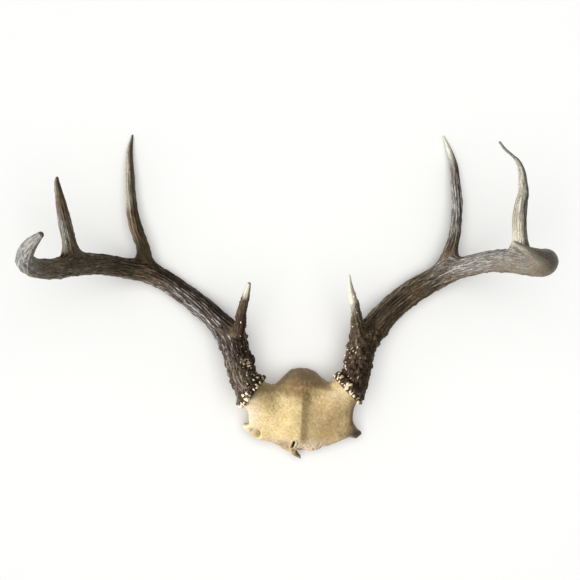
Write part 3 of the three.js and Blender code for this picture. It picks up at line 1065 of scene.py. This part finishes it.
def growth_grain_group():
    """Streaks that run along the growth of the beam and of the nearest tine, in millimetres."""
    if "Growth Grain" in bpy.data.node_groups:
        return bpy.data.node_groups["Growth Grain"]
    inputs = [("Width", "NodeSocketFloat", 1.0), ("Length", "NodeSocketFloat", 10.0),
              ("Detail", "NodeSocketFloat", 2.0)]
    tree, given, result = new_group("Growth Grain", inputs, [("Streak", "NodeSocketFloat")])
    across = maths(tree, "DIVIDE", 1.0, given["Width"])
    along = maths(tree, "DIVIDE", 1.0, given["Length"])
    scale = add_node(tree, "ShaderNodeCombineXYZ", {"X": across, "Y": across, "Z": along}).outputs[0]
    streaks = []
    for name in ("beam_grain", "tine_grain"):
        inputs = {0: stored(tree, name, "Vector"), 1: scale}
        place = add_node(tree, "ShaderNodeVectorMath", inputs, operation="MULTIPLY").outputs[0]
        inputs = {"Vector": place, "Scale": 1.0, "Detail": given["Detail"], "Roughness": 0.6}
        streaks.append(add_node(tree, "ShaderNodeTexNoise", inputs).outputs["Fac"])
    share = stored(tree, "tine_share")
    kept = maths(tree, "MULTIPLY", streaks[0], maths(tree, "SUBTRACT", 1.0, share))
    tree.links.new(maths(tree, "MULTIPLY_ADD", streaks[1], share, kept), result["Streak"])
    return tree


def mottle_group():
    """Soft patches of colour change, with a coarse and a fine size in millimetres."""
    if "Mottle" in bpy.data.node_groups:
        return bpy.data.node_groups["Mottle"]
    inputs = [("Coarse", "NodeSocketFloat", 10.0), ("Fine", "NodeSocketFloat", 2.0)]
    outputs = [("Patch", "NodeSocketFloat"), ("Fleck", "NodeSocketFloat")]
    tree, given, result = new_group("Mottle", inputs, outputs)
    place = add_node(tree, "ShaderNodeTexCoord").outputs["Object"]
    for size, detail, output in (("Coarse", 5.0, "Patch"), ("Fine", 3.0, "Fleck")):
        scale = maths(tree, "DIVIDE", 1 / MM, given[size])
        inputs = {"Vector": place, "Scale": scale, "Detail": detail, "Roughness": 0.55}
        patch = add_node(tree, "ShaderNodeTexNoise", inputs).outputs["Fac"]
        tree.links.new(patch, result[output])
    return tree


def pores_group():
    """Small round pores, from 0 to 1, with their spacing in millimetres and the share that is open."""
    if "Pores" in bpy.data.node_groups:
        return bpy.data.node_groups["Pores"]
    inputs = [("Spacing", "NodeSocketFloat", 1.5), ("Size", "NodeSocketFloat", 0.3)]
    tree, given, result = new_group("Pores", inputs, [("Pore", "NodeSocketFloat")])
    place = add_node(tree, "ShaderNodeTexCoord").outputs["Object"]
    scale = maths(tree, "DIVIDE", 1 / MM, given["Spacing"])
    cells = add_node(tree, "ShaderNodeTexVoronoi", {"Vector": place, "Scale": scale})
    chosen = add_node(tree, "ShaderNodeSeparateColor", {"Color": cells.outputs["Color"]}).outputs[0]
    size = maths(tree, "MULTIPLY", given["Size"], chosen)
    hole = maths(tree, "SUBTRACT", size, cells.outputs["Distance"])
    tree.links.new(ranged(tree, hole, 0.0, 0.12), result["Pore"])
    return tree


def new_material(name):
    """An empty material with one Principled shader."""
    material = bpy.data.materials.new(name)
    material.use_nodes = True
    tree = material.node_tree
    return material, tree, tree.nodes["Principled BSDF"]


def antler_material(looks):
    """Weathered antler: dark grooves, grey crests, cream pearls and polished ivory tips."""
    material, tree, shader = new_material("Antler")
    grain = growth_grain_group()
    mottle = use_group(tree, mottle_group(), coarse=16.0, fine=1.4)
    band = use_group(tree, grain, width=3.5, length=35.0, detail=2.0)["Streak"]
    streak = use_group(tree, grain, width=1.2, length=17.0, detail=2.0)["Streak"]
    thread = use_group(tree, grain, width=0.6, length=6.0, detail=3.0)["Streak"]
    groove, cream, relief = (stored(tree, name) for name in ("groove", "cream", "relief"))
    ivory, bleach = stored(tree, "ivory"), stored(tree, "bleach")
    furrow, dusky = stored(tree, "furrow"), stored(tree, "dusky")
    unpolished = maths(tree, "MULTIPLY_ADD", maths(tree, "POWER", ivory, 2.0), -0.8, 1.0)
    contrast = maths(tree, "MULTIPLY_ADD", furrow, 0.8, 0.25, clamp=True)

    brown = mixed(tree, dusky, looks.beam_colour, looks.root_colour)
    colour = mixed(tree, ranged(tree, mottle["Patch"], 0.42, 0.66), brown, looks.shade_colour)
    level = maths(tree, "MULTIPLY_ADD", relief, 0.3, maths(tree, "MULTIPLY", streak, 0.8))
    level = maths(tree, "MULTIPLY_ADD", band, 0.4, level)
    level = maths(tree, "MULTIPLY_ADD", bleach, 0.12, level)
    level = maths(tree, "MULTIPLY_ADD", thread, 0.5, level)
    crest = ranged(tree, level, 1.07, 1.16)
    # Worn crests, lighter where the bleach is high, which also puts painted glints on the lit side.
    worn = maths(tree, "MULTIPLY_ADD", dusky, -0.15, maths(tree, "MULTIPLY_ADD", bleach, 0.9, 0.34))
    worn = maths(tree, "MULTIPLY", maths(tree, "MULTIPLY", crest, worn), contrast, clamp=True)
    # The cool grey crests on the lit side are painted glints as well as bleached wear; the warm tan is
    # the crests' own colour.
    crest_tone = mixed(tree, ranged(tree, bleach, 0, 0.3), looks.warm_crest_colour, looks.crest_and_glint_colour)
    colour = mixed(tree, worn, colour, crest_tone)
    # A grey wash where bleach is high: real bleaching, and painted highlight on the lit side.
    patchy = ranged(tree, mottle["Patch"], 0.35, 0.65, 0.6, 0.95)
    wash_and_highlight = maths(tree, "MULTIPLY", maths(tree, "POWER", bleach, 1.4), patchy)
    colour = mixed(tree, wash_and_highlight, colour, looks.bleached_and_highlight_colour)
    # Ivory tips, paler on the lit side, partly as painted highlight.
    tip = maths(tree, "MULTIPLY", ivory, ranged(tree, band, 0.35, 0.6, 0.75, 1.0))
    colour = mixed(tree, tip, colour, looks.ivory_colour)
    long_cracks, short_cracks = ranged(tree, streak, 0.47, 0.38), ranged(tree, thread, 0.46, 0.37)
    cracks = maths(tree, "MAXIMUM", long_cracks, short_cracks)
    cracks = maths(tree, "MULTIPLY", cracks, contrast)
    dirt = maths(tree, "MULTIPLY", groove, ranged(tree, band, 0.3, 0.6, 1.0, 0.5))
    dirt = maths(tree, "MAXIMUM", dirt, cracks)
    dirt = maths(tree, "MULTIPLY", maths(tree, "MULTIPLY", dirt, 0.85), unpolished)
    colour = mixed(tree, dirt, colour, looks.groove_colour)
    speck = maths(tree, "MULTIPLY", ranged(tree, mottle["Fleck"], 0.55, 0.66, 0.0, 0.7), unpolished)
    colour = mixed(tree, speck, colour, looks.groove_colour)
    top = ranged(tree, cream, 0.3, 0.6)
    colour = mixed(tree, top, colour, looks.cream_colour)
    tree.links.new(colour, shader.inputs["Base Color"])
    shader.inputs["Specular IOR Level"].default_value = 0.12
    shader.inputs["Coat Roughness"].default_value = 0.38
    polish = maths(tree, "MULTIPLY_ADD", worn, 1.2, maths(tree, "MULTIPLY", ivory, 0.4), clamp=True)
    tree.links.new(polish, shader.inputs["Coat Weight"])
    rough = maths(tree, "MULTIPLY_ADD", dirt, 0.3, maths(tree, "MULTIPLY_ADD", ivory, -0.12, 0.42))
    tree.links.new(maths(tree, "MULTIPLY_ADD", top, -0.08, rough), shader.inputs["Roughness"])
    fine = maths(tree, "MULTIPLY_ADD", streak, 1.0, maths(tree, "MULTIPLY", band, 0.5))
    bump = add_node(tree, "ShaderNodeBump", {"Strength": 0.9, "Distance": 0.0013, "Height": fine})
    tree.links.new(bump.outputs["Normal"], shader.inputs["Normal"])
    return material


def bone_material(looks):
    """Old skull bone: warm cream with brown stains, pores and a spongy sawn face."""
    material, tree, shader = new_material("Skull Bone")
    mottle = use_group(tree, mottle_group(), coarse=8.0, fine=1.5)
    grit = use_group(tree, mottle_group(), coarse=3.0, fine=0.8)
    pores = use_group(tree, pores_group(), spacing=2.2, size=0.3)["Pore"]
    sponge = use_group(tree, pores_group(), spacing=1.1, size=0.85)["Pore"]
    stain, dark, pale = (stored(tree, name) for name in ("stain", "dark", "pale"))
    pit, sawn, spongy = (stored(tree, name) for name in ("pit", "sawn", "spongy"))
    patch = ranged(tree, mottle["Patch"], 0.35, 0.7)
    colour = mixed(tree, patch, looks.bone_colour, looks.bone_shade_colour)
    colour = mixed(tree, maths(tree, "MULTIPLY", pale, 0.85), colour, looks.pale_colour)
    # Brown stains, and painted shade on the plate's right half, right margin and beside the ridge.
    patchy = maths(tree, "MULTIPLY", stain, ranged(tree, mottle["Patch"], 0.25, 0.6, 0.75, 1.0))
    colour = mixed(tree, patchy, colour, looks.stain_and_shade_colour)
    fleck = ranged(tree, mottle["Fleck"], 0.5, 0.66, 0.0, 0.55)
    colour = mixed(tree, fleck, colour, looks.stain_and_shade_colour)
    bright = ranged(tree, grit["Patch"], 0.52, 0.7, 0.0, 0.35)
    colour = mixed(tree, bright, colour, looks.pale_colour)
    grain = ranged(tree, grit["Fleck"], 0.6, 0.72, 0.0, 0.35)
    colour = mixed(tree, grain, colour, looks.stain_and_shade_colour)
    # Dark patches, most of them painted shade on the right eye socket's rim, the right margin, under
    # the nasal lip and in the slit.
    colour = mixed(tree, maths(tree, "MULTIPLY", dark, 0.95), colour, looks.pore_dirt_and_shade_colour)
    colour = mixed(tree, maths(tree, "MULTIPLY", pores, 0.4), colour, looks.pore_dirt_and_shade_colour)
    colour = mixed(tree, maths(tree, "MULTIPLY", pit, 0.3), colour, looks.stain_and_shade_colour)
    holes = maths(tree, "MULTIPLY", sawn, sponge)
    colour = mixed(tree, maths(tree, "MAXIMUM", holes, spongy), colour, looks.stain_and_shade_colour)
    tree.links.new(colour, shader.inputs["Base Color"])
    shader.inputs["Specular IOR Level"].default_value = 0.3
    rough = ranged(tree, mottle["Fleck"], 0.3, 0.7, 0.5, 0.72)
    tree.links.new(rough, shader.inputs["Roughness"])
    hole = maths(tree, "MULTIPLY_ADD", holes, -1.5, maths(tree, "MULTIPLY", pores, -0.6))
    height = maths(tree, "MULTIPLY_ADD", grit["Patch"], 0.8, hole)
    bump = add_node(tree, "ShaderNodeBump", {"Strength": 0.6, "Distance": 0.0006, "Height": height})
    tree.links.new(bump.outputs["Normal"], shader.inputs["Normal"])
    return material


def floor_material(looks):
    """A plain pale table top."""
    material, tree, shader = new_material("Pale Table")
    mottle = use_group(tree, mottle_group(), coarse=300.0, fine=3.0)
    deeper = tuple(FLOOR_SHADE * value for value in looks.floor_colour)
    colour = mixed(tree, mottle["Patch"], looks.floor_colour, deeper)
    tree.links.new(colour, shader.inputs["Base Color"])
    shader.inputs["Roughness"].default_value = 0.8
    shader.inputs["Specular IOR Level"].default_value = 0.2
    return material


# ---------- the stage, in metres ----------

CAMERA_SENSOR = 36  # millimetres
CAMERA_REACH = 20
RACK_MIDDLE = (0, 0.12, 0.08)  # what the lights face
LIGHTS = [
    {"name": "key_light", "place": (-2.6, -0.75, 1.8), "size": 1.5, "power": "key_power",
     "lit": "rack", "tint": (1, 1, 1)},
    {"name": "front_light", "place": (0.1, -1.4, 0.3), "size": 0.7, "power": "front_power",
     "lit": "rack", "tint": (0.86, 0.92, 1.0)},
    {"name": "table_light", "place": (0, 0.12, 2.2), "size": 2.5, "power": "table_power",
     "lit": "table", "tint": (1, 1, 1)},
]


def make_camera(settings):
    """A camera straight above the rack, looking down on the forehead."""
    data = bpy.data.cameras.new("camera")
    data.sensor_width = CAMERA_SENSOR
    data.lens = settings.lens
    data.clip_end = CAMERA_REACH
    camera = bpy.data.objects.new("camera", data)
    camera.location = settings.camera_place
    bpy.context.scene.collection.objects.link(camera)
    bpy.context.scene.camera = camera


def light_group(name):
    """The collection of what one light shines on."""
    return bpy.data.collections.get(name) or bpy.data.collections.new(name)


def make_light(row, power):
    """A soft square light that faces the rack and shines on one group of objects."""
    data = bpy.data.lights.new(row["name"], "AREA")
    data.shape = "SQUARE"
    data.color = row["tint"]
    data.size = row["size"]
    data.energy = power
    light = bpy.data.objects.new(row["name"], data)
    light.location = row["place"]
    facing = Vector(RACK_MIDDLE) - Vector(row["place"])
    light.rotation_euler = facing.to_track_quat("-Z", "Y").to_euler()
    light.light_linking.receiver_collection = light_group(row["lit"])
    bpy.context.scene.collection.objects.link(light)


def make_sky(strength):
    """Even white light from all around."""
    world = bpy.data.worlds.new("studio")
    world.use_nodes = True
    background = world.node_tree.nodes["Background"]
    background.inputs["Color"].default_value = (1, 1, 1, 1)
    background.inputs["Strength"].default_value = strength
    bpy.context.scene.world = world


def make_floor(settings):
    """The table top, with the rack in its middle."""
    half = settings.floor_size / 2
    corners = [(-half, -half, 0), (half, -half, 0), (half, half, 0), (-half, half, 0)]
    mesh = bpy.data.meshes.new("floor")
    mesh.from_pydata(corners, [], [(0, 1, 2, 3)])
    mesh.materials.append(floor_material(settings))
    floor = bpy.data.objects.new("floor", mesh)
    bpy.context.scene.collection.objects.link(floor)
    light_group("table").objects.link(floor)


# ---------- settings, operators and panel ----------

def length_property(name, description, default):
    """A length property, in metres."""
    return FloatProperty(name=name, description=description, default=default, min=0,
                         unit="LENGTH", precision=5)


def power_property(name, description, default):
    """A light's power property, in watts."""
    return FloatProperty(name=name, description=description, default=default, unit="POWER")


def colour_property(name, description, *display):
    """A colour property, from display values of 0 to 255."""
    return FloatVectorProperty(name=name, description=description, default=paint(*display), size=3,
                               subtype="COLOR", min=0, max=1)


class AntlerSettings(PropertyGroup):
    """Sizes and colours of the antlers."""

    mesh_step: length_property("Mesh Step", "Distance between the mesh's vertices", 0.00075)
    fork_blend: length_property("Fork Blend", "Reach of the fillet at the root of a tine", 0.0105)
    groove_depth: length_property("Groove Depth", "Depth of the growth grooves", 0.001)
    flake_height: length_property("Flake Height", "Height of the flakes between the grooves", 0.0006)
    bump_height: FloatProperty(name="Bump Height", description="Scales the pearls and knobs",
                               default=1.0)
    seed: IntProperty(name="Seed", description="Which growth pattern is drawn", default=11)
    root_colour: colour_property("Root", "Brown of the pearled root", 62, 44, 33)
    beam_colour: colour_property("Beam", "Brown of the beams", 100, 83, 60)
    shade_colour: colour_property("Shade", "Olive brown patches of the beams", 82, 70, 48)
    # Cool grey of bleached crests, which also stands for painted glints on the lit side.
    crest_and_glint_colour: colour_property("Crest", "Grey of the worn crests", 178, 180, 178)
    warm_crest_colour: colour_property("Warm Crest", "Tan of the unbleached crests", 146, 122, 92)
    # Grey of bleached stretches, which also paints highlight on the lit side.
    bleached_and_highlight_colour: colour_property("Bleached", "Grey of the bleached stretches", 148, 150, 149)
    groove_colour: colour_property("Groove", "Dirt in the grooves", 34, 25, 18)
    cream_colour: colour_property("Cream", "Cream of the pearls' worn tops", 214, 196, 164)
    ivory_colour: colour_property("Ivory", "Polished tips of the tines", 234, 228, 206)


class SkullSettings(PropertyGroup):
    """Sizes and colours of the skull plate."""

    mesh_step: length_property("Mesh Step", "Distance between the mesh's vertices", 0.00062)
    ridge_height: length_property("Ridge Height", "Height of the ridge along the forehead", 0.0032)
    seed: IntProperty(name="Seed", description="Which bone pattern is drawn", default=31)
    bone_colour: colour_property("Bone", "Warm cream of the forehead", 192, 173, 125)
    bone_shade_colour: colour_property("Bone Shade", "Deeper patches of the forehead", 180, 157, 106)
    # Brown of real stains, also used as painted shade on the plate's right side.
    pale_colour: colour_property("Pale", "Pale pinkish edges", 190, 174, 154)
    stain_and_shade_colour: colour_property("Stain", "Brown of the crown and the stains", 122, 94, 56)
    # Dark for dirt in the pores, and painted shade on the right eye socket's rim, the right margin,
    # under the nasal lip and in the slit.
    pore_dirt_and_shade_colour: colour_property("Dark", "Dirt in pores, and the dark right lump", 56, 46, 36)


class StageSettings(PropertyGroup):
    """The camera, the lights and the floor."""

    floor_size: length_property("Floor Size", "Edge of the square floor", 6.0)
    floor_colour: colour_property("Floor", "Colour of the table top", 240, 240, 238)
    lens: FloatProperty(name="Lens", description="Focal length of the camera in millimetres",
                        default=58.19)
    camera_place: FloatVectorProperty(name="Camera Place", description="Where the camera stands",
                                      default=(-0.0115, 0.1345, 0.945), subtype="TRANSLATION")
    key_power: power_property("Key Power", "Power of the light on the rack, from the left", 215)
    front_power: power_property("Front Power", "Power of the cool light from the front", 3)
    table_power: power_property("Table Power", "Power of the light on the table top", 52)
    sky_strength: FloatProperty(name="Sky Strength", description="Strength of the even light",
                                default=0.42)


class RACK_OT_make_stage(Operator):
    """Make the floor, the lights and the camera"""

    bl_idname = "rack.make_stage"
    bl_label = "Make Stage"

    def execute(self, context):
        settings = context.scene.rack_stage
        make_floor(settings)
        make_camera(settings)
        for row in LIGHTS:
            make_light(row, getattr(settings, row["power"]))
        make_sky(settings.sky_strength)
        context.scene.view_settings.view_transform = "Standard"
        return {"FINISHED"}


class RACK_OT_make_antlers(Operator):
    """Make both antlers, each as one carved mesh"""

    bl_idname = "rack.make_antlers"
    bl_label = "Make Antlers"

    def execute(self, context):
        settings = context.scene.rack_antlers
        material = antler_material(settings)
        make_antler("left", LEFT_ANTLER, settings, material, settings.seed)
        make_antler("right", RIGHT_ANTLER, settings, material, settings.seed + RIGHT_SEED_SHIFT)
        return {"FINISHED"}


class RACK_OT_make_skull_plate(Operator):
    """Make the sawn skull plate"""

    bl_idname = "rack.make_skull_plate"
    bl_label = "Make Skull Plate"

    def execute(self, context):
        settings = context.scene.rack_skull
        make_plate(settings, bone_material(settings), settings.seed)
        return {"FINISHED"}


class RACK_PT_panel(Panel):
    """The rack's pieces and their settings"""

    bl_idname = "RACK_PT_panel"
    bl_label = "Deer Antler Rack"
    bl_space_type = "VIEW_3D"
    bl_region_type = "UI"
    bl_category = "Rack"

    def draw(self, context):
        parts = (
            (RACK_OT_make_stage, context.scene.rack_stage),
            (RACK_OT_make_antlers, context.scene.rack_antlers),
            (RACK_OT_make_skull_plate, context.scene.rack_skull),
        )
        for operator, settings in parts:
            box = self.layout.box()
            for name in settings.__annotations__:
                box.prop(settings, name)
            box.operator(operator.bl_idname)


CLASSES = (
    AntlerSettings,
    SkullSettings,
    StageSettings,
    RACK_OT_make_stage,
    RACK_OT_make_antlers,
    RACK_OT_make_skull_plate,
    RACK_PT_panel,
)


def register():
    """Makes the classes and the scene's settings known."""
    for one in CLASSES:
        bpy.utils.register_class(one)
    bpy.types.Scene.rack_antlers = PointerProperty(type=AntlerSettings)
    bpy.types.Scene.rack_skull = PointerProperty(type=SkullSettings)
    bpy.types.Scene.rack_stage = PointerProperty(type=StageSettings)


def unregister():
    """Takes back what register did."""
    del bpy.types.Scene.rack_stage
    del bpy.types.Scene.rack_skull
    del bpy.types.Scene.rack_antlers
    for one in reversed(CLASSES):
        bpy.utils.unregister_class(one)


def main():
    """Builds the whole scene."""
    register()
    bpy.ops.rack.make_stage()
    bpy.ops.rack.make_antlers()
    bpy.ops.rack.make_skull_plate()


if __name__ == "__main__":
    main()
